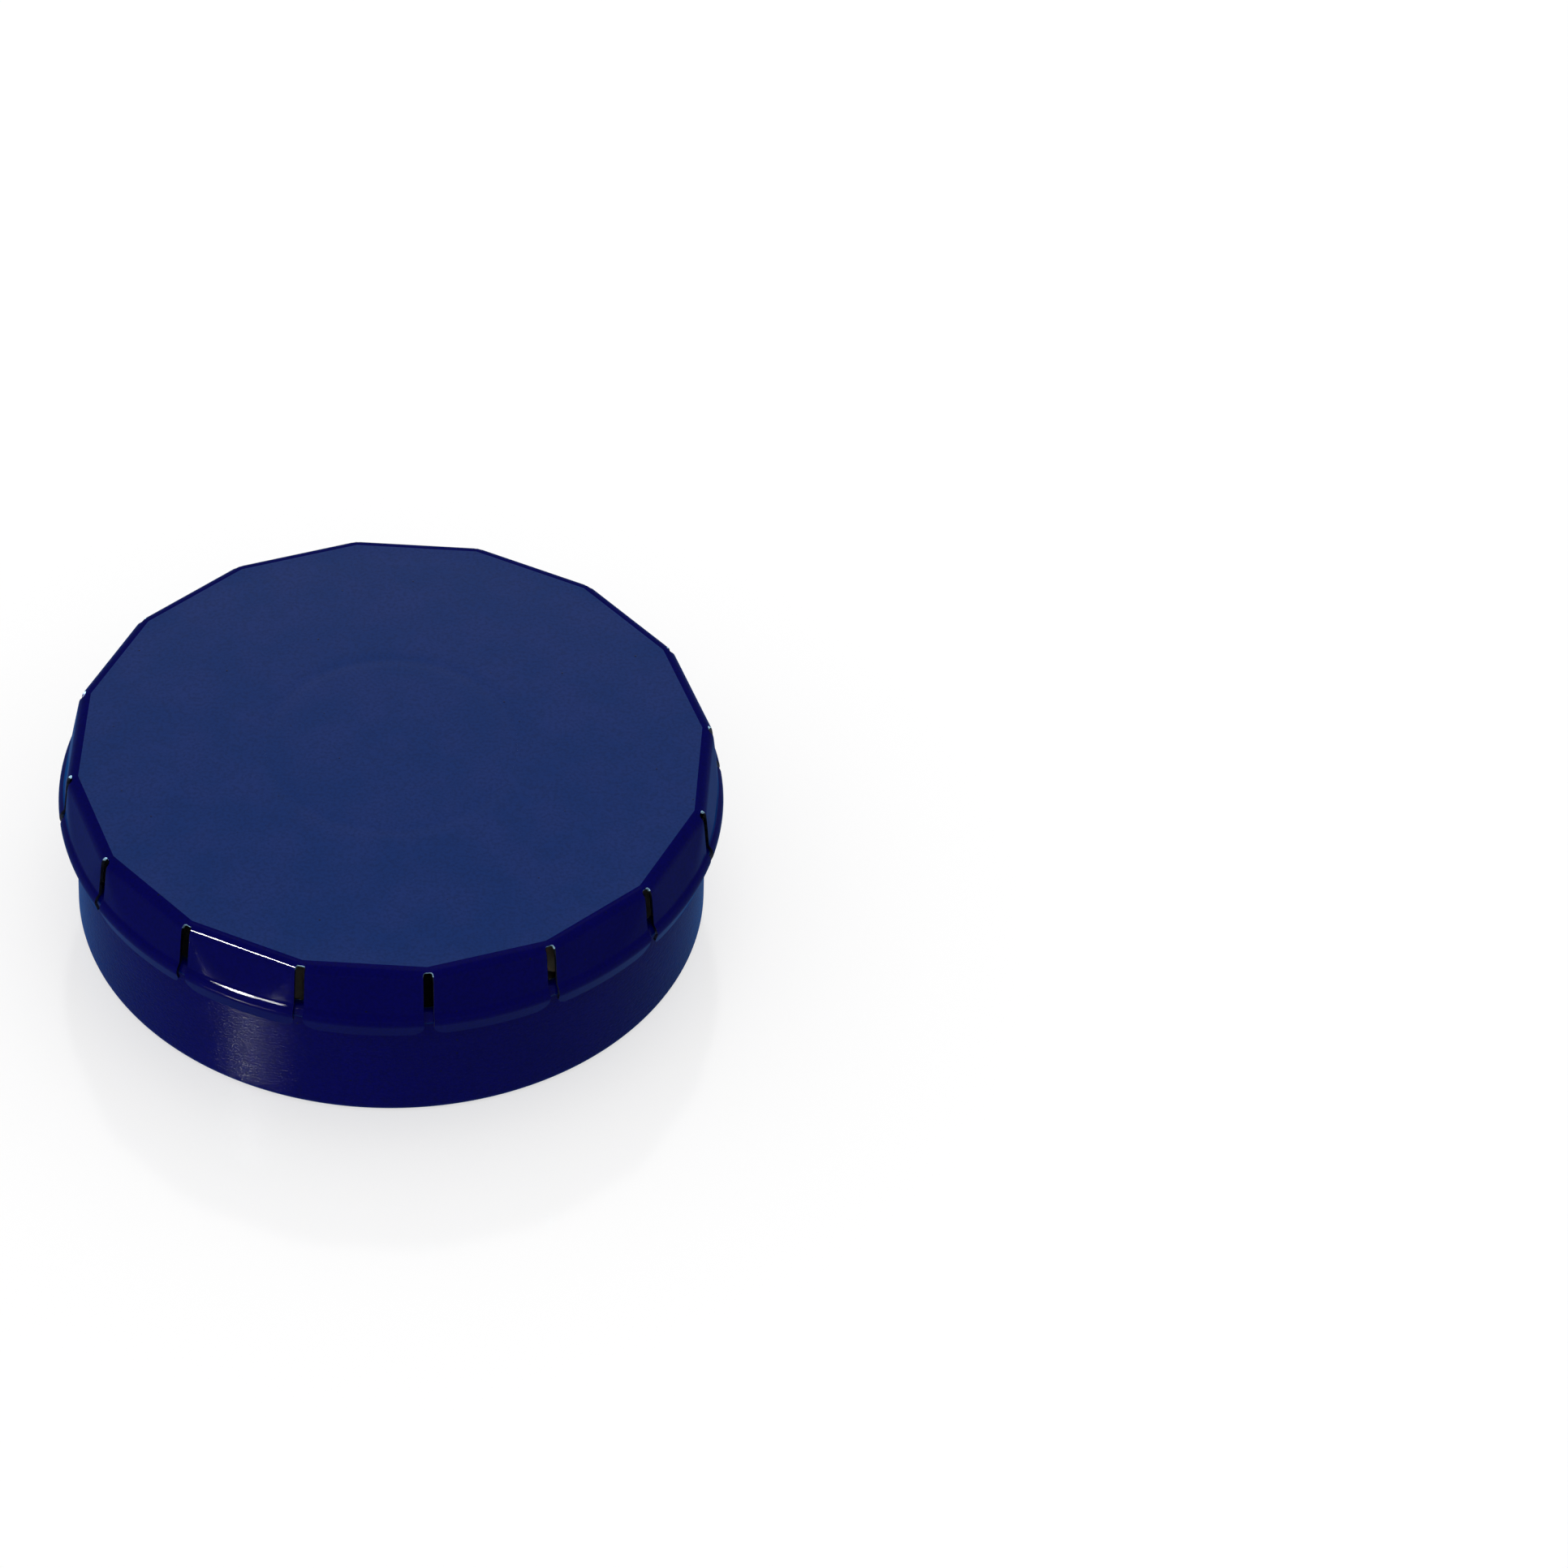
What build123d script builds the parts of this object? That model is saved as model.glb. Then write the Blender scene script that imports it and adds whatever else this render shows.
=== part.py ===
from build123d import *
import math
import os

# A round click tin of printed tinplate, with loose mints in it. Millimetres, +Z up. The origin is
# the middle of the underside that the tin stands on. Pressed in the middle, the domed lid panel
# snaps down, its sixteen skirt fingers swing out from under the cup's rolled rim, and it lifts off.
# The lid is one stamping on the real tin. Here it is parted along the lines where it flexes: round
# the press disc, and along the bends that its fingers swing on.

# Tinplate, and the gaps that are left between one piece and the next
sheet = 0.23
running_gap = 0.05
overrun = 1.0

# Cup
cup_radius = 23.15
cup_corner_radius = 0.6
rim_curl_radius = 0.6
rim_curl_height = 9.9
rim_curl_end_gap = 0.1

# Lid skirt: each finger leans out from a straight bend, steps out over a shoulder that sits on the
# rolled rim, goes round the rim as a ridge, and turns in under it as a toe. Leans and turns are in
# degrees, leans from the vertical and turns from the level of the rim's middle.
finger_count = 16
slot_width = 0.75
seat_gap = 0.05
ridge_gap = 0.1
corner_lean = 5.0
face_lean = 12.0
shoulder_lean = 45.0
shoulder_rise = 0.68
crown_turn = 35.0
toe_turn = 20.0
toe_length = 1.18
toe_corner_radius = 1.0
bend_radius = 0.9

# Lid panel and press disc
panel_rise = 4.35
panel_margin = 0.4
dome_rise = 0.85
press_disc_radius = 9.25

# Mints, with their places counted in mint diameters from the tin's axis
mint_radius = 5.25
mint_thickness = 5.8
mint_seat_radius = 1.5
mint_place_shares = [(0.12, 0.05), (1.24, -0.42), (-0.28, -1.22), (-1.15, 0.38), (0.42, 1.26)]

# Cup values that follow
cup_inner_radius = cup_radius - sheet
rim_curl_middle = cup_inner_radius + rim_curl_radius
rim_curl_inside = rim_curl_radius - sheet
rim_curl_end_share = (rim_curl_inside - rim_curl_end_gap) / rim_curl_radius
rim_curl_turn = 180 + math.degrees(math.acos(-rim_curl_end_share))



def step(start, angle, length):
    """The point one length away in the radial plane, its direction in degrees up from the radius."""
    turn = math.radians(angle)
    return (start[0] + length * math.cos(turn), start[1] + length * math.sin(turn))


def distance(point, start, angle):
    """How far a point lies from a start, counted along one direction."""
    turn = math.radians(angle)
    return (point[0] - start[0]) * math.cos(turn) + (point[1] - start[1]) * math.sin(turn)


def meet(start, first, second):
    """Where two straight flanks meet, each given by the angle it faces and its distance from a start."""
    turn = math.radians(second[0] - first[0])
    run = (second[1] - first[1] * math.cos(turn)) / math.sin(turn)
    return step(step(start, first[0], first[1]), first[0] + 90, run)


# Lid values that follow, all of them taken from the rolled rim that the skirt closes round
finger_pitch = 360 / finger_count
rim = (rim_curl_middle, rim_curl_height)
ridge_radius = rim_curl_radius + ridge_gap + sheet
skirt_radius = rim_curl_middle + ridge_radius
panel_height = rim_curl_height + panel_rise
bend_height = panel_height - bend_radius
shoulder_distance = rim_curl_radius + seat_gap + sheet
shoulder_slope = math.radians(shoulder_lean)
shoulder_reach = (shoulder_distance - shoulder_rise * math.sin(shoulder_slope)) / math.cos(shoulder_slope)
face_foot = (rim_curl_middle + shoulder_reach, rim_curl_height + shoulder_rise)
face_distance = distance(face_foot, rim, face_lean)
face_top_height = bend_height + bend_radius * math.sin(math.radians(face_lean))
face_inset = (face_top_height - face_foot[1]) * math.tan(math.radians(face_lean))
bend_distance = face_foot[0] - face_inset - bend_radius * math.cos(math.radians(face_lean))
panel_corner_radius = bend_distance / math.cos(math.radians(finger_pitch / 2))
corner_distance = ridge_radius * math.cos(math.radians(crown_turn - corner_lean))
toe_tip = step(step(rim, -toe_turn, ridge_radius), -toe_turn - 90, toe_length)
toe_heel = step(toe_tip, 180 - toe_turn, sheet)
slot_apex = slot_width / 2 / math.sin(math.radians(finger_pitch / 2))
finger_half_width = skirt_radius * math.sin(math.radians(finger_pitch / 2)) - slot_width / 2


def make_cup():
    """The drawn cup: flat floor, round corner, straight wall and a rim rolled outwards."""
    corner = (cup_radius - cup_corner_radius, cup_corner_radius)
    with BuildPart() as cup:
        with BuildSketch(Plane.XZ):
            with BuildLine():
                Line((0, 0), (cup_radius - cup_corner_radius, 0))
                CenterArc(corner, cup_corner_radius, -90, 90)
                Line((cup_radius, cup_corner_radius), (cup_radius, rim_curl_height))
                inside = CenterArc(rim, rim_curl_inside, 180, -rim_curl_turn)
                outside = CenterArc(rim, rim_curl_radius, 180, -rim_curl_turn)
                Line(inside @ 1, outside @ 1)
                Line((cup_inner_radius, rim_curl_height), (cup_inner_radius, cup_corner_radius))
                CenterArc(corner, cup_corner_radius - sheet, 0, -90)
                Line((cup_radius - cup_corner_radius, sheet), (0, sheet))
                Line((0, sheet), (0, 0))
            make_face()
        revolve(axis=Axis.Z)
    return cup


def make_dome():
    """The lid panel before it is parted: a shallow dome inside a flat margin."""
    dome_radius = bend_distance - panel_margin
    panel_under = panel_height - sheet
    edge = panel_corner_radius + overrun
    with BuildPart() as dome:
        with BuildSketch(Plane.XZ):
            with BuildLine():
                TangentArc((0, panel_height + dome_rise), (dome_radius, panel_height), tangent=(1, 0))
                Line((dome_radius, panel_height), (edge, panel_height))
                Line((edge, panel_height), (edge, panel_under))
                Line((edge, panel_under), (dome_radius, panel_under))
                TangentArc((0, panel_under + dome_rise), (dome_radius, panel_under), tangent=(1, 0))
                Line((0, panel_under + dome_rise), (0, panel_height + dome_rise))
            make_face()
        revolve(axis=Axis.Z)
    return dome


def make_panel(dome):
    """The sixteen-sided ring of the panel, round the press disc."""
    with BuildPart() as panel:
        add(dome.part)
        with BuildSketch(Plane.XY.offset(panel_height - sheet - overrun)):
            RegularPolygon(bend_distance, finger_count, major_radius=False, rotation=finger_pitch / 2)
            Circle(press_disc_radius + running_gap, mode=Mode.SUBTRACT)
        extrude(amount=dome_rise + sheet + 2 * overrun, mode=Mode.INTERSECT)
    return panel


def make_press_disc(dome):
    """The middle of the panel, which is pressed to open the tin."""
    with BuildPart() as disc:
        add(dome.part)
        with BuildSketch(Plane.XY.offset(panel_height - sheet - overrun)):
            Circle(press_disc_radius)
        extrude(amount=dome_rise + sheet + 2 * overrun, mode=Mode.INTERSECT)
    return disc


def make_skirt_form(inset):
    """All that lies inside the skirt's skin towards +X, with the skin moved in by the inset.

    A round side gives the corners, the ridge and the toe, and a flat side the bend, the face and
    the shoulder.
    """
    top = panel_height - inset
    radius = ridge_radius - inset
    crown_angle = corner_lean + math.degrees(math.acos((corner_distance - inset) / radius))
    crown = step(rim, crown_angle, radius)
    corner_inset = (top - crown[1]) * math.tan(math.radians(corner_lean))
    toe_start = step(rim, -toe_turn, radius)
    toe_end = step(toe_start, -toe_turn - 90, toe_length)
    foot = toe_end[1] - overrun if inset else toe_heel[1]
    under = foot - overrun
    bend = (bend_distance, bend_height)
    face = (face_lean, face_distance - inset)
    shoulder = (shoulder_lean, shoulder_distance - inset)
    face_end = meet(rim, face, shoulder)
    shoulder_end = step(face_end, shoulder_lean - 90, skirt_radius - bend_distance)
    with BuildPart() as form:
        with BuildSketch(Plane.XZ):
            with BuildLine():
                Polyline((0, foot), (0, top), (crown[0] - corner_inset, top), crown)
                CenterArc(rim, radius, crown_angle, -toe_turn - crown_angle)
                Polyline(toe_start, toe_end, (toe_heel[0], foot), (0, foot))
            make_face()
        revolve(axis=Axis.Z)
        with BuildSketch(Plane.XZ):
            with BuildLine():
                Line((bend_distance, under), (bend_distance, top))
                CenterArc(bend, bend_radius - inset, 90, face_lean - 90)
                Polyline(step(bend, face_lean, bend_radius - inset), face_end, shoulder_end)
                Polyline(shoulder_end, (shoulder_end[0], under), (bend_distance, under))
            make_face()
        extrude(amount=skirt_radius, both=True, mode=Mode.INTERSECT)
    return form


def make_finger():
    """One skirt finger at +X: bend, leaning face, ridge and toe, with slots beside it."""
    outer = make_skirt_form(0)
    inner = make_skirt_form(sheet)
    reach = skirt_radius + overrun
    side = step((slot_apex, 0), finger_pitch / 2, reach)
    with BuildPart() as finger:
        add(outer.part)
        add(inner.part, mode=Mode.SUBTRACT)
        with BuildSketch(Plane.XY.offset(toe_tip[1] - overrun)):
            with BuildLine():
                Polyline((slot_apex, 0), side, (side[0], -side[1]), close=True)
            make_face()
        extrude(amount=panel_height - toe_tip[1] + 2 * overrun, mode=Mode.INTERSECT)
        with BuildSketch(Plane.YZ):
            height = panel_height + overrun - toe_tip[1]
            with Locations((0, toe_tip[1] + height / 2)):
                Rectangle(2 * finger_half_width, height)
            fillet(vertices().group_by(Axis.Z)[0], toe_corner_radius)
        extrude(amount=reach, mode=Mode.INTERSECT)
    return finger


def make_mint(place):
    """A pressed mint with rounded faces, lying on the cup's floor at its place."""
    middle = mint_thickness / 2
    belly = mint_radius - mint_seat_radius
    stand = (place[0], place[1], sheet)
    with BuildPart() as mint:
        with BuildSketch(Plane(origin=stand, x_dir=(1, 0, 0), z_dir=(0, -1, 0))):
            with BuildLine():
                Line((0, 0), (mint_seat_radius, 0))
                EllipticalCenterArc((mint_seat_radius, middle), belly, middle, -90, arc_size=180)
                Line((mint_seat_radius, mint_thickness), (0, mint_thickness))
                Line((0, mint_thickness), (0, 0))
            make_face()
        revolve(axis=Axis(stand, (0, 0, 1)))
    return mint


def save(piece, name):
    """Label one finished piece and write it."""
    piece.part.label = name
    export_step(piece.part, f"parts/{name}.step")


os.makedirs("parts", exist_ok=True)

save(make_cup(), "cup")

whole_dome = make_dome()
save(make_panel(whole_dome), "lid_panel")
save(make_press_disc(whole_dome), "press_disc")

finger_blank = make_finger()
for number in range(finger_count):
    with BuildPart() as lid_finger:
        add(finger_blank.part, rotation=(0, 0, number * finger_pitch))
    save(lid_finger, f"lid_finger_{number + 1:02d}")

for number, shares in enumerate(mint_place_shares):
    mint_place = (shares[0] * 2 * mint_radius, shares[1] * 2 * mint_radius)
    save(make_mint(mint_place), f"mint_{number + 1}")
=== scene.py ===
import math

import bpy
from mathutils import Matrix, Vector


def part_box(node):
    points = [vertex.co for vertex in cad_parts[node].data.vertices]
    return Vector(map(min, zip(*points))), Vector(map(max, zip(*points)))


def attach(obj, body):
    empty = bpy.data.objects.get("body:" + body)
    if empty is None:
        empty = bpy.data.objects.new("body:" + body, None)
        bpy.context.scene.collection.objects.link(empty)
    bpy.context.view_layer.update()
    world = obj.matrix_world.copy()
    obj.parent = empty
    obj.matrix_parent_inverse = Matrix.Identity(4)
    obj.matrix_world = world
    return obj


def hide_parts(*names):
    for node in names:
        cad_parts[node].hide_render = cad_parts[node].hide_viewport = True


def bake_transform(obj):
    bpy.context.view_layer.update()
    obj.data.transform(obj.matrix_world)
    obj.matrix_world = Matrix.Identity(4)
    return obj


# A round click tin in navy enamel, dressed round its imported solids. Metres, +Z up, the tin
# standing on the floor at the origin. Angles are in degrees where they are named, and a piece is
# drawn at the finger on +X first and then turned to its place.
mm = 0.001
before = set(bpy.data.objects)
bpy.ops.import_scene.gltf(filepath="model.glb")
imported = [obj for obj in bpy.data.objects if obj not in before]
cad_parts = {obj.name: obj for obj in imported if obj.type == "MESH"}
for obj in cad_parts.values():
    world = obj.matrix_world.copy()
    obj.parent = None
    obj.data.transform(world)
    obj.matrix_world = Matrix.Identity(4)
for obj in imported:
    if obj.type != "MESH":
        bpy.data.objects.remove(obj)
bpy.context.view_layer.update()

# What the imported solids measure
finger_low, finger_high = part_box("lid_finger_01")
disc_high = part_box("press_disc")[1]
cup_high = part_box("cup")[1]
bend_distance = finger_low.x
skirt_radius = finger_high.x
panel_height = finger_high.z
sheet = panel_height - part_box("lid_panel")[0].z
press_disc_radius = disc_high.x
dome_rise = disc_high.z - panel_height

# Cup. Its bare inside ends at the bare turn on the rolled rim, counted up from the rim's outside.
cup_corner_radius = 0.6 * mm
rim_curl_radius = 0.6 * mm
rim_curl_end_gap = 0.1 * mm
bare_turn = 130.0
rim_curl_middle = cup_high.x - rim_curl_radius
rim_curl_height = cup_high.z - rim_curl_radius
rim = Vector((rim_curl_middle, rim_curl_height))
cup_inner_radius = rim_curl_middle - rim_curl_radius
cup_radius = cup_inner_radius + sheet

# Lid skirt, by the leans and turns of its solids. Only the crown turn is larger: the ridge goes
# further round, and the shoulder runs straight into it.
finger_count = 16
finger_pitch = math.radians(360 / finger_count)
half_pitch = finger_pitch / 2
slot_width = 0.75 * mm
corner_lean = 5.0
face_lean = 12.0
shoulder_lean = 45.0
crown_turn = 52.0
toe_turn = 20.0
toe_length = 1.18 * mm
toe_corner_radius = 1.0 * mm
bend_radius = 0.9 * mm
ridge_radius = skirt_radius - rim_curl_middle
bend = Vector((bend_distance, panel_height - bend_radius))
corner_distance = ridge_radius * math.cos(math.radians(crown_turn - corner_lean))

# How softly one form of the skirt turns into the next, as the length over which they mix
shoulder_softness = 0.1 * mm
crown_softness = 0.08 * mm
corner_softness = 0.1 * mm

# The skirt is drawn by rays from a ring inside it, so each point is one turn and one azimuth
eye = Vector((21.5 * mm, 10.5 * mm))
slope_step = math.radians(0.02)

# Shares of the way down a finger. The slot starts a short way down the bend, below a narrow web
# that joins two fingers, and is soon full. Then the bend ends, and the toe's corner turns in last.
slot_start_share = 0.062
slot_full_share = 0.115
toe_corner_share = 0.836

# Rows of points down a finger: in the web, round the slot's end, along its side and round the toe.
# The slot's end is rounded by a power, where 2 is a circle, and its cut sides there are bare metal in a
# bright azure, a painted glint.
web_rows = 4
slot_end_rows = 8
side_rows = 60
toe_rows = 10
slot_end_power = 3.0
slot_end_wear_and_glint_rows = range(web_rows - 1, web_rows + slot_end_rows)

# Lid panel. Its rings of points crowd together, by a power, towards the press disc's edge.
panel_margin = 0.4 * mm
margin_softness = 0.04 * mm
ring_depth = 0.03 * mm
ring_width = 0.6 * mm
ring_crowding = 1.7
dome_radius = bend_distance - panel_margin
dome_sphere = (dome_radius ** 2 + dome_rise ** 2) / (2 * dome_rise)

# Mints
mint_count = 5
mint_power = 2.3

# Noise keeps near its middle value, so a narrow range about it is spread over each change
tight_range = (0.38, 0.62)
grain_range = (0.38, 0.68)
even_range = (0.35, 0.65)
wide_range = (0.3, 0.7)

# What varies in the enamel, each by the size of its features, and the azure that its edges show
enamel_cloud_size = 3.5 * mm
enamel_grain_size = 0.25 * mm
enamel_grain_strength = 0.5
enamel_grain_shade = 0.5
enamel_wear_size = 1.5 * mm
azure = (0.03, 0.32, 1.0)
azure_roughness = 0.3

# Dust under the enamel, a speck in some of the cells
dust_spacing = 1.3 * mm
dust_size = 0.10 * mm
dust_share = 0.25
dust_height = 0.01 * mm
dust_colour = (0.002, 0.003, 0.012)

# Tinplate, with a grain that is long the way it was rolled
tin_cloud_size = 5 * mm
tin_dull_share = 0.82
tin_grain_size = 0.25 * mm
tin_grain_stretch = (0.04, 1, 1)
tin_grain_depth = 0.002 * mm

# Mint sugar
sugar_colours = ((0.74, 0.68, 0.60), (0.70, 0.63, 0.55))
sugar_roughness = (0.22, 0.34)
sugar_cloud_size = 2.5 * mm
sugar_polish_size = 0.8 * mm
sugar_dent_size = 1.2 * mm
sugar_dent_depth = 0.03 * mm
sugar_glow_depth = 0.6 * mm

# Floor and background. The floor glows where it is seen, straight or in gloss, so that it looks
# white, and its glow lights nothing.
floor_half = 2.0
floor_grey = 0.42
floor_roughness = 0.12
floor_glow = 0.60
world_light = 0.8

# Camera, as the photograph was taken
camera_azimuth = 2.16
camera_elevation = 42.72
camera_roll = 1.73
camera_aim = Vector((28.34 * mm, 14.30 * mm, 0))
camera_distance = 842.1 * mm
camera_lens = 257.6
sensor_width = 36


def towards(angle, length=1.0):
    """The step of one length in the radial plane, its angle in degrees up from the radius."""
    turn = math.radians(angle)
    return Vector((length * math.cos(turn), length * math.sin(turn)))


def soft_min(first, second, softness):
    """The smaller of two lengths, rounded off where they are nearly equal."""
    near = max(softness - abs(first - second), 0) / softness
    return min(first, second) - near * near * softness / 4


def soft_max(first, second, softness):
    """The larger of two lengths, rounded off where they are nearly equal."""
    return -soft_min(-first, -second, softness)


def around(radius, azimuth, height):
    """The point at a radius and a height, turned to its azimuth about the tin's axis."""
    return Vector((radius * math.cos(azimuth), radius * math.sin(azimuth), height))


# Skirt values that follow
face_distance = towards(face_lean).dot(bend - rim) + bend_radius
toe_tip = rim + towards(-toe_turn, ridge_radius) + towards(-toe_turn - 90, toe_length)


def make_camera():
    """The photograph's camera, with its slight roll."""
    azimuth = math.radians(camera_azimuth)
    elevation = math.radians(camera_elevation)
    roll = math.radians(camera_roll)
    back = Vector((math.sin(azimuth) * math.cos(elevation),
                   -math.cos(azimuth) * math.cos(elevation),
                   math.sin(elevation)))
    level = Vector((math.cos(azimuth), math.sin(azimuth), 0))
    upright = back.cross(level)
    right = level * math.cos(roll) + upright * math.sin(roll)
    up = upright * math.cos(roll) - level * math.sin(roll)
    camera = bpy.data.objects.new("camera", bpy.data.cameras.new("camera"))
    camera.data.lens = camera_lens
    camera.data.sensor_width = sensor_width
    camera.data.clip_start = camera_distance / 10
    camera.data.clip_end = camera_distance * 10
    turned = Matrix((right, up, back)).transposed().to_4x4()
    camera.matrix_world = Matrix.Translation(camera_aim + back * camera_distance) @ turned
    bpy.context.scene.collection.objects.link(camera)
    bpy.context.scene.camera = camera


# Shaders

def new_material(name):
    """A material with its node tree and its main shader."""
    material = bpy.data.materials.new(name)
    material.use_nodes = True
    return material, material.node_tree, material.node_tree.nodes["Principled BSDF"]


def add_noise(tree, size, detail=2.0, stretch=(1, 1, 1)):
    """Noise in the piece's own space, with features of about that size."""
    place = tree.nodes.new("ShaderNodeTexCoord")
    spread = tree.nodes.new("ShaderNodeMapping")
    spread.inputs["Scale"].default_value = [share / size for share in stretch]
    noise = tree.nodes.new("ShaderNodeTexNoise")
    noise.inputs["Scale"].default_value = 1
    noise.inputs["Detail"].default_value = detail
    tree.links.new(place.outputs["Object"], spread.inputs["Vector"])
    tree.links.new(spread.outputs["Vector"], noise.inputs["Vector"])
    return noise.outputs["Fac"]


def add_range(tree, value, source, target):
    """A value taken from the source range to the target range, and held at its ends."""
    scale = tree.nodes.new("ShaderNodeMapRange")
    scale.inputs["From Min"].default_value, scale.inputs["From Max"].default_value = source
    scale.inputs["To Min"].default_value, scale.inputs["To Max"].default_value = target
    tree.links.new(value, scale.inputs["Value"])
    return scale.outputs["Result"]


def add_mix(tree, factor, first, second):
    """One colour turning into the other. Each is three numbers or the output of a node."""
    mix = tree.nodes.new("ShaderNodeMix")
    mix.data_type = "RGBA"
    tree.links.new(factor, mix.inputs["Factor"])
    for colour, socket in ((first, mix.inputs["A"]), (second, mix.inputs["B"])):
        if isinstance(colour, tuple):
            socket.default_value = (*colour, 1)
        else:
            tree.links.new(colour, socket)
    return mix.outputs["Result"]


def add_specks(tree, spacing, size, share):
    """A share of the cells hold a speck each: 1 in a speck and 0 elsewhere."""
    place = tree.nodes.new("ShaderNodeTexCoord")
    cells = tree.nodes.new("ShaderNodeTexVoronoi")
    cells.inputs["Scale"].default_value = 1 / spacing
    tree.links.new(place.outputs["Object"], cells.inputs["Vector"])
    speck = add_range(tree, cells.outputs["Distance"], (size / spacing, size / spacing / 2), (0, 1))
    chance = tree.nodes.new("ShaderNodeSeparateColor")
    tree.links.new(cells.outputs["Color"], chance.inputs["Color"])
    kept = tree.nodes.new("ShaderNodeMath")
    kept.operation = "LESS_THAN"
    kept.inputs[1].default_value = share
    tree.links.new(chance.outputs["Red"], kept.inputs[0])
    both = tree.nodes.new("ShaderNodeMath")
    both.operation = "MULTIPLY"
    tree.links.new(speck, both.inputs[0])
    tree.links.new(kept.outputs["Value"], both.inputs[1])
    return both.outputs["Value"]


def add_bump(tree, heights, shader):
    """Bumps one on another, each a height and a depth, into the normals of a shader and its coat."""
    below = None
    for height, depth in heights:
        bump = tree.nodes.new("ShaderNodeBump")
        bump.inputs["Distance"].default_value = depth
        tree.links.new(height, bump.inputs["Height"])
        if below:
            tree.links.new(below, bump.inputs["Normal"])
        below = bump.outputs["Normal"]
    tree.links.new(below, shader.inputs["Normal"])
    tree.links.new(below, shader.inputs["Coat Normal"])


def set_inputs(shader, **values):
    """Constants set on a shader's own sockets, each named with its spaces as low lines."""
    for name, value in values.items():
        shader.inputs[name.replace("_", " ")].default_value = value


def make_enamel(name, colours, roughness, specular, tint, coat, sheen, peel, stretch=(1, 1, 1)):
    """Navy enamel: two near shades with dark grain and dust, a thin gloss and an orange peel.

    The coat is given as its weight and roughness, and the peel as its size and depth.
    """
    material, tree, shader = new_material(name)
    cloud = add_range(tree, add_noise(tree, enamel_cloud_size, detail=6), tight_range, (0, 1))
    base = add_mix(tree, cloud, *colours)
    speckle = add_noise(tree, enamel_grain_size, detail=2)
    grain = add_range(tree, speckle, grain_range, (0, enamel_grain_strength))
    base = add_mix(tree, grain, base, tuple(enamel_grain_shade * share for share in colours[0]))
    dust = add_specks(tree, dust_spacing, dust_size, dust_share)
    tree.links.new(add_mix(tree, dust, base, dust_colour), shader.inputs["Base Color"])
    wear = add_range(tree, add_noise(tree, enamel_wear_size, detail=4), even_range, roughness)
    tree.links.new(wear, shader.inputs["Roughness"])
    coat_weight, coat_roughness = coat
    set_inputs(shader, Specular_Tint=(*tint, 1), Specular_IOR_Level=specular,
               Coat_Weight=coat_weight, Coat_Roughness=coat_roughness,
               Sheen_Weight=sheen, Sheen_Roughness=azure_roughness, Sheen_Tint=(*azure, 1))
    peel_size, peel_depth = peel
    dimples = add_noise(tree, peel_size, detail=2, stretch=stretch)
    add_bump(tree, [(dimples, peel_depth), (dust, dust_height)], shader)
    return material


def make_tinplate(name, colour, roughness):
    """Tinplate, rolled along one direction, with a faint cloudiness."""
    material, tree, shader = new_material(name)
    cloud = add_range(tree, add_noise(tree, tin_cloud_size, detail=4), even_range, (0, 1))
    dull = tuple(tin_dull_share * share for share in colour)
    tree.links.new(add_mix(tree, cloud, colour, dull), shader.inputs["Base Color"])
    grain = add_noise(tree, tin_grain_size, detail=3, stretch=tin_grain_stretch)
    tree.links.new(add_range(tree, grain, wide_range, roughness), shader.inputs["Roughness"])
    set_inputs(shader, Metallic=1)
    add_bump(tree, [(grain, tin_grain_depth)], shader)
    return material


def make_mint_sugar():
    """Pressed sugar with a soft polish: ivory, a little translucent, faintly mottled."""
    material, tree, shader = new_material("mint_sugar")
    cloud = add_range(tree, add_noise(tree, sugar_cloud_size, detail=4), even_range, (0, 1))
    tree.links.new(add_mix(tree, cloud, *sugar_colours), shader.inputs["Base Color"])
    polish = add_noise(tree, sugar_polish_size, detail=3)
    tree.links.new(add_range(tree, polish, wide_range, sugar_roughness), shader.inputs["Roughness"])
    set_inputs(shader, Subsurface_Weight=0.25, Subsurface_Scale=sugar_glow_depth,
               Subsurface_Radius=(1.0, 0.8, 0.6), Specular_IOR_Level=0.3)
    add_bump(tree, [(add_noise(tree, sugar_dent_size, detail=2), sugar_dent_depth)], shader)
    return material


# The panel is the skirt's navy enamel painted lighter and greener-blue, a painted reflection of the
# light from above; only the cloudy spread between its two shades is its own.
panel_enamel_painted_light = make_enamel(
    "panel_enamel_painted_light", colours=((0.0028, 0.0200, 0.120), (0.0066, 0.0218, 0.126)),
    roughness=(0.36, 0.40), specular=0.15, tint=(0.15, 0.35, 1.0), coat=(0.02, 0.3), sheen=0.0,
    peel=(0.5 * mm, 0.0015 * mm))
skirt_enamel = make_enamel(
    "skirt_enamel", colours=((0.0002, 0.0001, 0.073), (0.0004, 0.0002, 0.080)),
    roughness=(0.30, 0.38), specular=0.0, tint=(0.10, 0.40, 1.0), coat=(0.045, 0.04), sheen=0.3,
    peel=(0.9 * mm, 0.003 * mm))
wall_enamel = make_enamel(
    "wall_enamel", colours=((0.0002, 0.0001, 0.076), (0.0004, 0.0002, 0.084)),
    roughness=(0.30, 0.38), specular=0.0, tint=(0.10, 0.40, 1.0), coat=(0.06, 0.07), sheen=0.5,
    peel=(0.22 * mm, 0.03 * mm), stretch=(0.6, 0.6, 1.6))
# The bare tinplate is coloured darker than tinplate as painted shade, so that the inside seen through
# the slots looks dark.
bare_tinplate_painted_shade = make_tinplate("bare_tinplate_painted_shade", colour=(0.30, 0.296, 0.285), roughness=(0.28, 0.36))
# Bare metal at the slot ends, its bright azure a painted glint.
wear_and_glint_edge = make_tinplate("wear_and_glint_edge", colour=(0.45, 0.72, 0.90), roughness=(0.35, 0.50))
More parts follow.
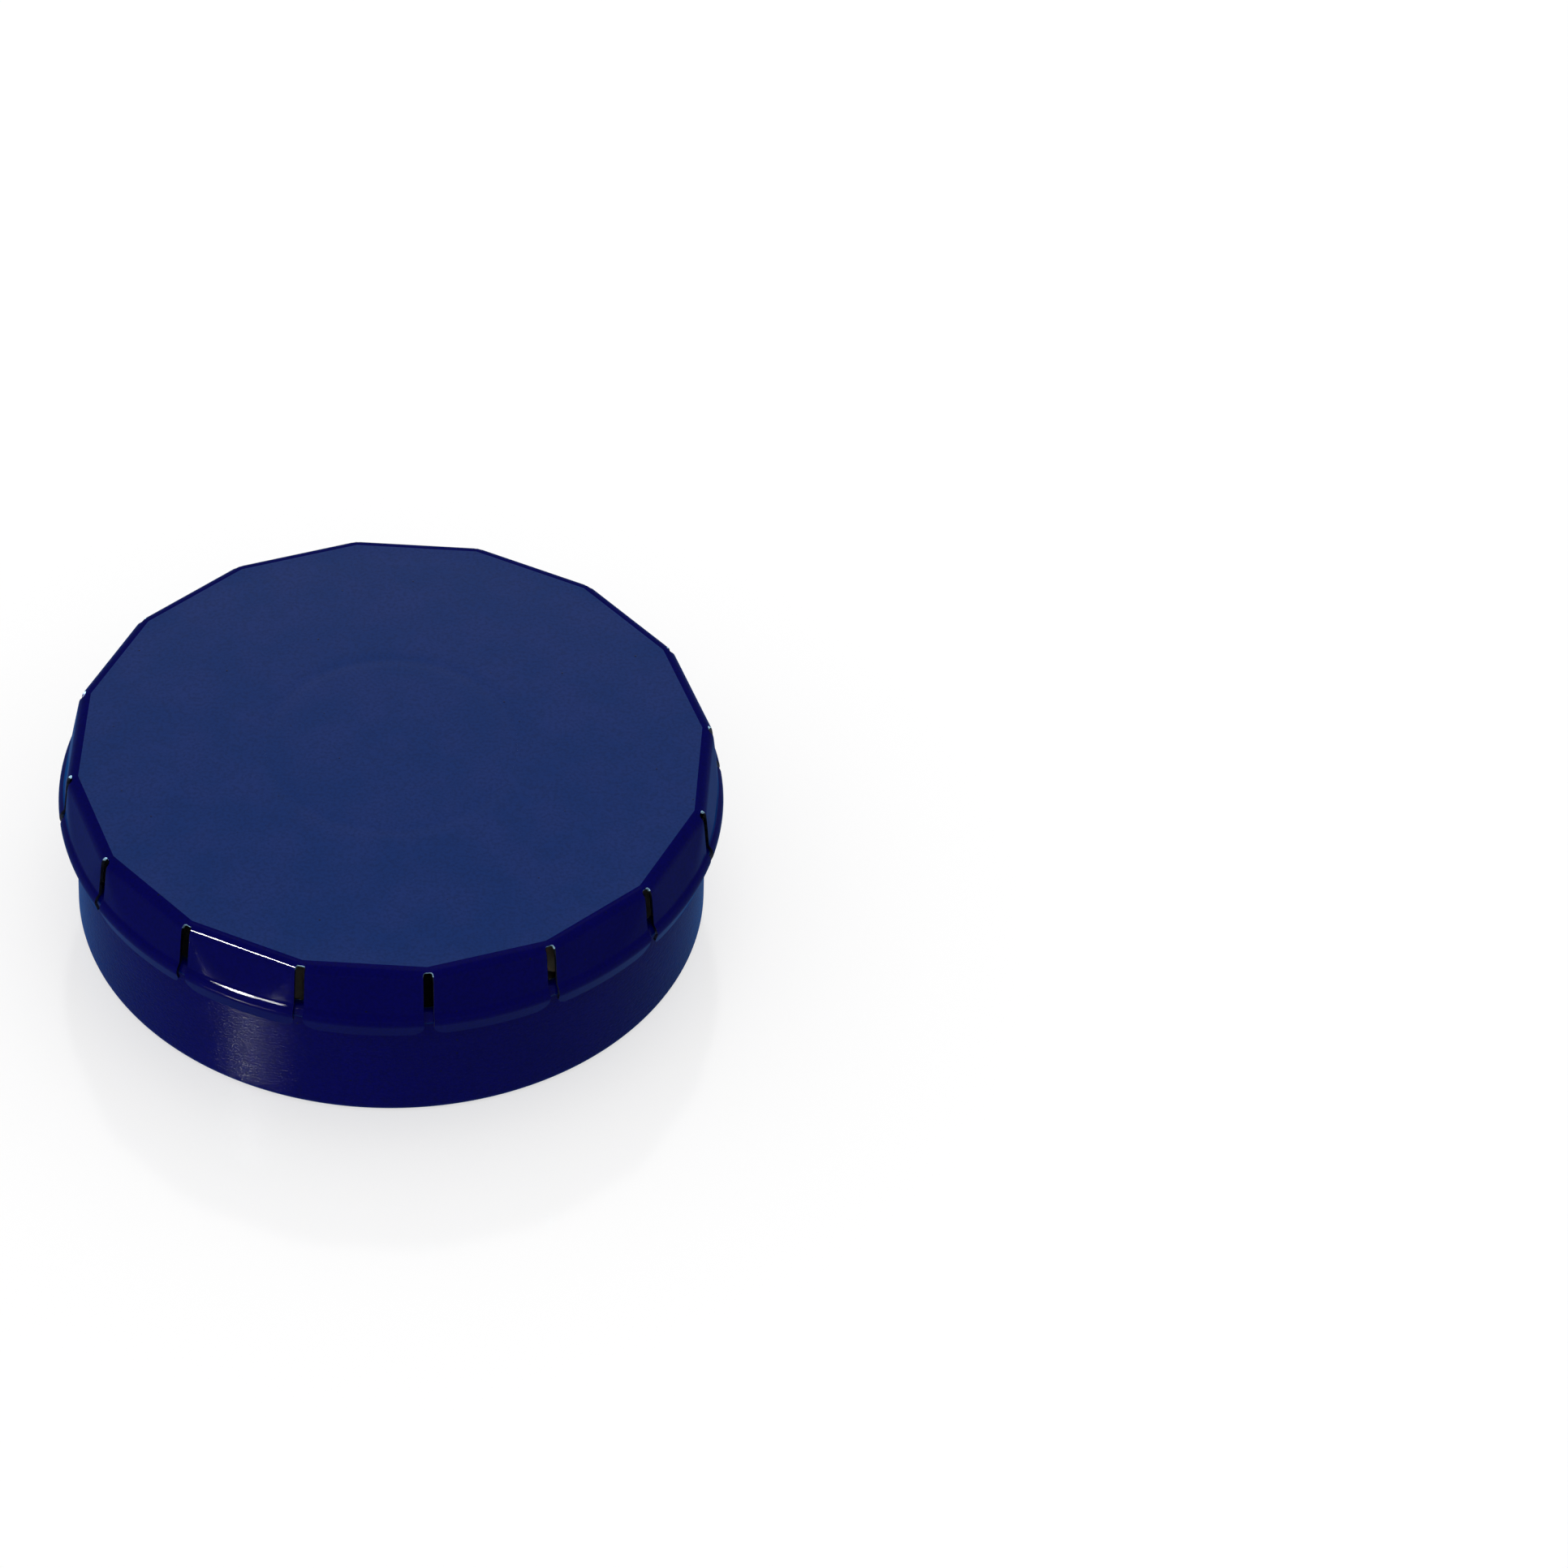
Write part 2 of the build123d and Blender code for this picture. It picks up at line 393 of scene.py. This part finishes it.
# The cut edges are near black as painted shade, so that the slots between the fingers look dark.
cut_edge_painted_shade = make_tinplate("cut_edge_painted_shade", colour=(0.030, 0.036, 0.060), roughness=(0.25, 0.40))
mint_sugar = make_mint_sugar()


# Meshes

def make_mesh(name, points, faces, materials):
    """A smooth mesh from faces that are each listed with their patch, sharp where patches meet.

    Materials are given by patch.
    """
    mesh = bpy.data.meshes.new(name)
    mesh.from_pydata(points, [], [corners for corners, patch in faces])
    slots = list(dict.fromkeys(materials.values()))
    for material in slots:
        mesh.materials.append(material)
    patches_at = {}
    for polygon, (corners, patch) in zip(mesh.polygons, faces):
        polygon.use_smooth = True
        polygon.material_index = slots.index(materials[patch])
        for key in polygon.edge_keys:
            patches_at.setdefault(key, set()).add(patch)
    for edge in mesh.edges:
        edge.use_edge_sharp = len(patches_at[edge.key]) > 1
    piece = bpy.data.objects.new(name, mesh)
    bpy.context.scene.collection.objects.link(piece)
    return piece


def make_sheet_piece(name, outer, inner, skin, lining, wear_and_glint_rows=()):
    """A closed piece of sheet metal between two grids of points, with cut edges round it, dark as
    painted shade.

    Rows go outwards or down, and columns the positive way round the tin. Along the given rows the
    sides are bare metal in a bright azure, a painted glint.
    """
    rows = len(outer)
    columns = len(outer[0])
    points = [point for grid in (outer, inner) for row in grid for point in row]

    def at(row, column, side=0):
        return (side * rows + row) * columns + column

    faces = []
    for row in range(rows - 1):
        for column in range(columns - 1):
            corners = [(row, column), (row + 1, column), (row + 1, column + 1), (row, column + 1)]
            faces.append(([at(*corner) for corner in corners], "skin"))
            faces.append(([at(*corner, 1) for corner in reversed(corners)], "lining"))
    last_row = rows - 1
    last_column = columns - 1
    borders = []
    for row in range(last_row):
        wear_and_glint = row in wear_and_glint_rows
        borders.append(((row, 0), (row + 1, 0), "worn right" if wear_and_glint else "right"))
        borders.append(((row + 1, last_column), (row, last_column), "worn left" if wear_and_glint else "left"))
    borders += [((last_row, column), (last_row, column + 1), "foot") for column in range(last_column)]
    borders += [((0, column + 1), (0, column), "head") for column in range(last_column)]
    for first, second, patch in borders:
        faces.append(([at(*second), at(*first), at(*first, 1), at(*second, 1)], patch))
    materials = {"skin": skin, "lining": lining, "right": cut_edge_painted_shade, "left": cut_edge_painted_shade,
                 "worn right": wear_and_glint_edge, "worn left": wear_and_glint_edge, "foot": cut_edge_painted_shade, "head": cut_edge_painted_shade}
    return make_mesh(name, points, faces, materials)


def make_turned_piece(name, stretches, materials, segments, middle=(0, 0)):
    """A piece turned about an upright axis from stretches of its section, each with its patch.

    The section runs clockwise, with the axis on its left, from the axis and back to it.
    """
    tiny = 1e-9
    section = []
    patches = []
    for patch, stretch in stretches:
        for point in stretch:
            if not section or (point - section[-1]).length > tiny:
                section.append(point)
                patches.append(patch)
    points = []
    rings = []
    for radius, height in section:
        first = len(points)
        if radius < tiny:
            points.append(Vector((middle[0], middle[1], height)))
            rings.append([first] * segments)
            continue
        for number in range(segments):
            turn = 2 * math.pi * number / segments
            points.append(Vector((middle[0] + radius * math.cos(turn),
                                  middle[1] + radius * math.sin(turn), height)))
        rings.append([first + number for number in range(segments)])
    faces = []
    for upper, lower, patch in zip(rings, rings[1:], patches[1:]):
        for number in range(segments):
            following = (number + 1) % segments
            corners = [upper[number], lower[number], lower[following], upper[following]]
            faces.append((list(dict.fromkeys(corners)), patch))
    return make_mesh(name, points, faces, materials)


def arc(middle, radius, first, last, steps):
    """Points along an arc in the radial plane, its angles in degrees up from the radius."""
    angles = [first + (last - first) * step / steps for step in range(steps + 1)]
    return [middle + towards(angle, radius) for angle in angles]


def straight(first, last, steps):
    """Points along a straight line in the radial plane."""
    return [first.lerp(last, step / steps) for step in range(steps + 1)]


# Cup

def make_cup():
    """The drawn cup: enamel outside and over the rolled rim, bare tinplate inside."""
    floor_rings = 6
    end_share = (rim_curl_radius - sheet - rim_curl_end_gap) / rim_curl_radius
    end_turn = -math.degrees(math.acos(-end_share))
    corner = Vector((cup_radius - cup_corner_radius, cup_corner_radius))
    wall_top = Vector((cup_inner_radius, rim_curl_height))
    cup_floor = [Vector((corner.x * ring / floor_rings, sheet)) for ring in range(floor_rings)]
    inner_corner = arc(corner, cup_corner_radius - sheet, -90, 0, steps=8)
    inner_wall = straight(inner_corner[-1], wall_top, steps=12)
    bare_curl = arc(rim, rim_curl_radius, 180, bare_turn, steps=5)
    curl_inside = arc(rim, rim_curl_radius - sheet, end_turn, 180, steps=30)
    outer_corner = arc(corner, cup_corner_radius, 0, -90, steps=12)
    outer_wall = straight(curl_inside[-1], outer_corner[0], steps=12)
    underside = [Vector((corner.x * (1 - ring / floor_rings), 0)) for ring in range(floor_rings + 1)]
    stretches = [
        ("inside", cup_floor + inner_corner + inner_wall + bare_curl),
        ("curl", arc(rim, rim_curl_radius, bare_turn, end_turn, steps=34)),
        ("end", [curl_inside[0]]),
        ("outside", curl_inside + outer_wall + outer_corner + underside),
    ]
    materials = {"inside": bare_tinplate_painted_shade, "curl": wall_enamel, "end": cut_edge_painted_shade, "outside": wall_enamel}
    cup = make_turned_piece("cup_shell", stretches, materials, segments=256)
    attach(cup, "base")
    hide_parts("cup")


# Lid

def panel_top(radius):
    """The panel's height at one radius: a dome in a flat margin, with a faint pressed ring."""
    dome = dome_rise - dome_sphere + math.sqrt(dome_sphere ** 2 - radius ** 2)
    ring = ring_depth * math.exp(-((radius - press_disc_radius) / ring_width) ** 2)
    return panel_height + soft_max(dome, 0, margin_softness) - ring


def make_press_disc():
    """The middle of the panel, which is pressed."""
    rings = 30
    ways = [1 - (1 - ring / rings) ** ring_crowding for ring in range(rings + 1)]
    radii = [press_disc_radius * way for way in ways]
    top = [Vector((radius, panel_top(radius))) for radius in radii]
    under = [Vector((radius, panel_top(radius) - sheet)) for radius in reversed(radii)]
    stretches = [("skin", top), ("edge", [under[0]]), ("lining", under)]
    materials = {"skin": panel_enamel_painted_light, "edge": cut_edge_painted_shade, "lining": bare_tinplate_painted_shade}
    disc = make_turned_piece("press_dome", stretches, materials, segments=192)
    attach(disc, "press_disc")
    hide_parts("press_disc")


def column_shares():
    """Places across a finger from -1 to 1, closer together towards its corners."""
    steps = 14
    return [math.sin(math.pi / 2 * step / steps) for step in range(-steps, steps + 1)]


def make_panel_grid():
    """The panel's top between two slots, from the press disc to the bend of a finger."""
    rings = 28
    grid = []
    for ring in range(rings + 1):
        way = (ring / rings) ** ring_crowding
        row = []
        for share in column_shares():
            azimuth = share * half_pitch
            edge = bend_distance / math.cos(azimuth)
            radius = press_disc_radius + way * (edge - press_disc_radius)
            row.append(around(radius, azimuth, panel_top(radius)))
        grid.append(row)
    return grid


def reach_flank(start, way, lean, far):
    """How far a ray goes to a straight flank that faces up by a lean, that far off the rim's middle."""
    facing = towards(lean)
    return (far - facing.dot(start - rim)) / facing.dot(way)


def reach_round(start, way, middle, radius):
    """How far a ray goes to the far side of a circle."""
    offset = start - middle
    along = offset.dot(way)
    square = way.dot(way)
    root = along * along - square * (offset.dot(offset) - radius * radius)
    return (math.sqrt(max(root, 0)) - along) / square


def reach_flat_side(turn, azimuth):
    """The ray's length to the form that is flat across the finger: bend, face and shoulder."""
    across = math.cos(azimuth)
    start = Vector((eye.x * across, eye.y))
    way = Vector((math.cos(turn) * across, math.sin(turn)))
    reach = reach_round(start, way, bend, bend_radius)
    touch = start + reach * way - bend
    facing = math.degrees(math.atan2(touch.y, touch.x))
    if facing > 90:
        reach = (panel_height - start.y) / way.y
    elif facing < face_lean:
        reach = reach_flank(start, way, face_lean, face_distance)
    shoulder = reach_flank(start, way, shoulder_lean, ridge_radius)
    return soft_max(reach, shoulder, shoulder_softness)


def reach_round_side(turn):
    """The ray's length to the form that is round the tin: corner, ridge and toe."""
    way = Vector((math.cos(turn), math.sin(turn)))
    if turn < ray_turn(towards(-toe_turn, ridge_radius) + rim):
        return reach_flank(eye, way, -toe_turn, ridge_radius)
    ridge = reach_round(eye, way, rim, ridge_radius)
    if turn < ray_turn(towards(0, ridge_radius) + rim):
        return ridge
    corner = reach_flank(eye, way, corner_lean, corner_distance)
    return soft_max(corner, ridge, crown_softness)


def ray_turn(point):
    """The turn of the ray that meets a point of the radial plane."""
    return math.atan2(point.y - eye.y, point.x - eye.x)


def skirt_point(turn, azimuth):
    """The point of the skirt's outside on one ray."""
    reach = soft_min(reach_flat_side(turn, azimuth), reach_round_side(turn), corner_softness)
    radius = eye.x + reach * math.cos(turn)
    return around(radius, azimuth, eye.y + reach * math.sin(turn))


def skirt_facing(turn, azimuth):
    """The direction that the skirt's outside faces on one ray."""
    down = skirt_point(turn - slope_step, azimuth) - skirt_point(turn + slope_step, azimuth)
    along = skirt_point(turn, azimuth + slope_step) - skirt_point(turn, azimuth - slope_step)
    return down.cross(along).normalized()


def turn_at(share, azimuth):
    """The ray's turn at a share of the way from the finger's bend to the end of its toe."""
    first = ray_turn(Vector((bend_distance / math.cos(azimuth), panel_height)))
    return first + share * (ray_turn(toe_tip) - first)


def finger_rows():
    """Shares of the way down a finger, each with what the slot or the toe's corner takes off there.

    Rows crowd together where the outline turns.
    """
    half_slot = slot_width / 2
    rows = [(slot_start_share * step / web_rows, 0) for step in range(web_rows)]
    for step in range(slot_end_rows + 1):
        way = (step / slot_end_rows) ** 3
        gap = half_slot * (1 - (1 - way) ** slot_end_power) ** (1 / slot_end_power)
        rows.append((slot_start_share + way * (slot_full_share - slot_start_share), gap))
    for step in range(1, side_rows):
        share = slot_full_share + (toe_corner_share - slot_full_share) * step / side_rows
        rows.append((share, half_slot))
    for step in range(toe_rows + 1):
        way = 1 - (1 - step / toe_rows) ** 2
        gap = half_slot + toe_corner_radius * (1 - math.sqrt(1 - way * way))
        rows.append((toe_corner_share + way * (1 - toe_corner_share), gap))
    return rows


def side_azimuth(share, gap):
    """The azimuth of a finger's side, which leaves a gap to the middle of the slot."""
    azimuth = half_pitch
    for attempt in range(3):
        point = skirt_point(turn_at(share, azimuth), azimuth)
        azimuth = half_pitch - math.asin(gap / math.hypot(point.x, point.y))
    return azimuth


def make_finger_grids():
    """The outside and the inside of a finger, from its bend to its toe."""
    outer = []
    inner = []
    for share, gap in finger_rows():
        side = side_azimuth(share, gap)
        outer.append([])
        inner.append([])
        for column in column_shares():
            azimuth = column * side
            turn = turn_at(share, azimuth)
            point = skirt_point(turn, azimuth)
            outer[-1].append(point)
            inner[-1].append(point - skirt_facing(turn, azimuth) * sheet)
    return outer, inner


def turned(grid, azimuth):
    """A grid of points turned about the tin's axis."""
    turn = Matrix.Rotation(azimuth, 3, "Z")
    return [[turn @ point for point in row] for row in grid]


def lowered(grid, depth):
    """A grid of points moved straight down."""
    return [[point - Vector((0, 0, depth)) for point in row] for row in grid]


def make_lid():
    """The sixteen sectors of the panel and their fingers."""
    panel_grid = make_panel_grid()
    finger_outer, finger_inner = make_finger_grids()
    for number in range(finger_count):
        azimuth = number * finger_pitch
        body = f"lid_finger_{number + 1:02d}"

        sector = make_sheet_piece(
            f"panel_sector_{number + 1:02d}", turned(panel_grid, azimuth),
            turned(lowered(panel_grid, sheet), azimuth), panel_enamel_painted_light, bare_tinplate_painted_shade)
        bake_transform(sector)
        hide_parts("lid_panel")

        finger = make_sheet_piece(
            f"skirt_finger_{number + 1:02d}", turned(finger_outer, azimuth),
            turned(finger_inner, azimuth), skirt_enamel, bare_tinplate_painted_shade, slot_end_wear_and_glint_rows)
        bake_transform(finger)
        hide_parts(body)


# Mints

def make_mints():
    """Pillow-shaped mints, each on the place of its solid."""
    steps = 24
    for number in range(1, mint_count + 1):
        low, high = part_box(f"mint_{number}")
        middle = (low + high) / 2
        radius = (high.x - low.x) / 2
        belly = (high.z - low.z) / 2
        section = []
        for step in range(2 * steps + 1):
            turn = math.pi / 2 * (1 - step / steps)
            out = abs(math.cos(turn)) ** (2 / mint_power) * radius
            if step in (0, 2 * steps):
                out = 0
            rise = math.copysign(abs(math.sin(turn)) ** (2 / mint_power) * belly, math.sin(turn))
            section.append(Vector((out, middle.z + rise)))
        mint = make_turned_piece(f"mint_pillow_{number}", [("sugar", section)], {"sugar": mint_sugar},
                                 segments=72, middle=(middle.x, middle.y))
        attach(mint, "base")
        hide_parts(f"mint_{number}")


# Floor, background and light

def make_floor():
    """A glossy white floor that keeps the tin's shadow."""
    corners = [(floor_half * x, floor_half * y, 0) for x, y in ((-1, -1), (1, -1), (1, 1), (-1, 1))]
    mesh = bpy.data.meshes.new("floor")
    mesh.from_pydata(corners, [], [(0, 1, 2, 3)])
    floor = bpy.data.objects.new("floor", mesh)
    bpy.context.scene.collection.objects.link(floor)
    material, tree, shader = new_material("floor_white")
    set_inputs(shader, Base_Color=(floor_grey, floor_grey, floor_grey, 1),
               Roughness=floor_roughness, Specular_IOR_Level=0.5, Emission_Color=(1, 1, 1, 1))
    glow = add_range(tree, add_seen(tree), (0, 1), (0, floor_glow))
    tree.links.new(glow, shader.inputs["Emission Strength"])
    mesh.materials.append(material)


def add_seen(tree):
    """1 for rays by which the background is seen, straight or in gloss or glass, and 0 for light."""
    path = tree.nodes.new("ShaderNodeLightPath")
    seen = path.outputs["Is Camera Ray"]
    for other in ("Is Glossy Ray", "Is Transmission Ray"):
        larger = tree.nodes.new("ShaderNodeMath")
        larger.operation = "MAXIMUM"
        tree.links.new(seen, larger.inputs[0])
        tree.links.new(path.outputs[other], larger.inputs[1])
        seen = larger.outputs["Value"]
    return seen


def make_world():
    """Even light from all sides, with a white background."""
    world = bpy.data.worlds.new("studio")
    world.use_nodes = True
    tree = world.node_tree
    background = tree.nodes["Background"]
    background.inputs["Color"].default_value = (1, 1, 1, 1)
    light = add_range(tree, add_seen(tree), (0, 1), (world_light, 1))
    tree.links.new(light, background.inputs["Strength"])
    bpy.context.scene.world = world


def make_lamp(name, azimuth, elevation, distance, size, power, gloss_only=False):
    """An elliptical lamp that faces the tin, placed by its azimuth from +X and its elevation.

    One that is for gloss only shows in the gloss and lights nothing else.
    """
    lamp = bpy.data.lights.new(name, "AREA")
    lamp.shape = "ELLIPSE"
    lamp.size, lamp.size_y = size
    lamp.energy = power
    flat = towards(elevation, distance)
    place = Matrix.Rotation(math.radians(azimuth), 3, "Z") @ Vector((flat.x, 0, flat.y))
    holder = bpy.data.objects.new(name, lamp)
    holder.location = place
    holder.rotation_mode = "QUATERNION"
    holder.rotation_quaternion = place.to_track_quat("Z", "Y")
    holder.visible_diffuse = not gloss_only
    bpy.context.scene.collection.objects.link(holder)


bpy.context.scene.view_settings.view_transform = "Standard"
make_camera()
make_floor()
make_world()
make_lamp("overhead", azimuth=80, elevation=75, distance=0.8, size=(0.6, 0.6), power=0.8)
make_lamp("side_strip", azimuth=-134, elevation=34, distance=0.5, size=(0.22, 0.062), power=10,
          gloss_only=True)
make_lamp("side_spot", azimuth=-136, elevation=35, distance=0.5, size=(0.06, 0.05), power=10,
          gloss_only=True)

make_cup()
make_press_disc()
make_lid()
make_mints()
